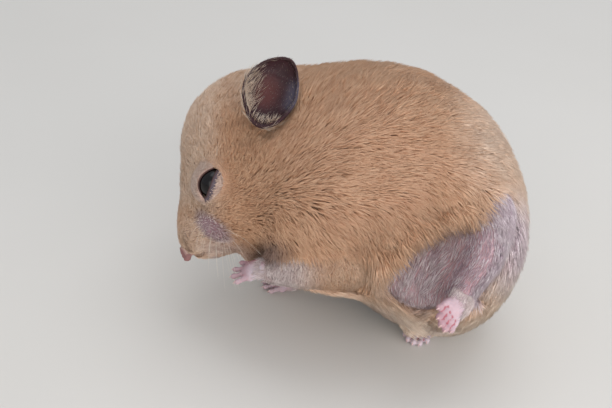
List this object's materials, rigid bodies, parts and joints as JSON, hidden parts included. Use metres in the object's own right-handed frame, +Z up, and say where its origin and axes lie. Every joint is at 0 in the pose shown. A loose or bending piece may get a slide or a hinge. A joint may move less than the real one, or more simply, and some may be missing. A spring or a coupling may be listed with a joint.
{
  "type": "syrian hamster",
  "caption": "Life-size still model of an adult golden-coated Syrian hamster, sitting hunched with its head bowed and leaning on its right haunch.",
  "frame": {"origin": "on the floor, under the middle of the animal's bounding box", "axes": "+X runs from the bowed head to the rump, +Y away from the side that faces the viewer, which is the animal's left, and +Z up"},
  "size_m": [0.0814, 0.0698, 0.0653],
  "materials": {
    "coat": "short plush fur, apricot orange, paler on the rump and forehead",
    "bare_skin": "bare pink skin, soft sheen",
    "ear": "thin dark grey-brown skin, faint down",
    "eye": "wet black",
    "claw": "pale translucent horn",
    "whisker": "pale stiff hair"
  },
  "bodies": {
    "root": {"head": "coat", "muzzle": "coat", "lower_jaw": "coat", "neck": "coat", "chest": "coat", "loins": "coat", "rump": "coat", "foreleg_left": "coat", "foreleg_right": "coat", "shank_left": "coat", "shank_right": "coat", "nose": "bare_skin", "tail": "bare_skin", "forepaw_left": "bare_skin", "forepaw_right": "bare_skin", "hind_foot_left": "bare_skin", "hind_foot_right": "bare_skin", "ear_left": "ear", "ear_right": "ear", "eye_left": "eye", "eye_right": "eye"}
  },
  "joints": []
}
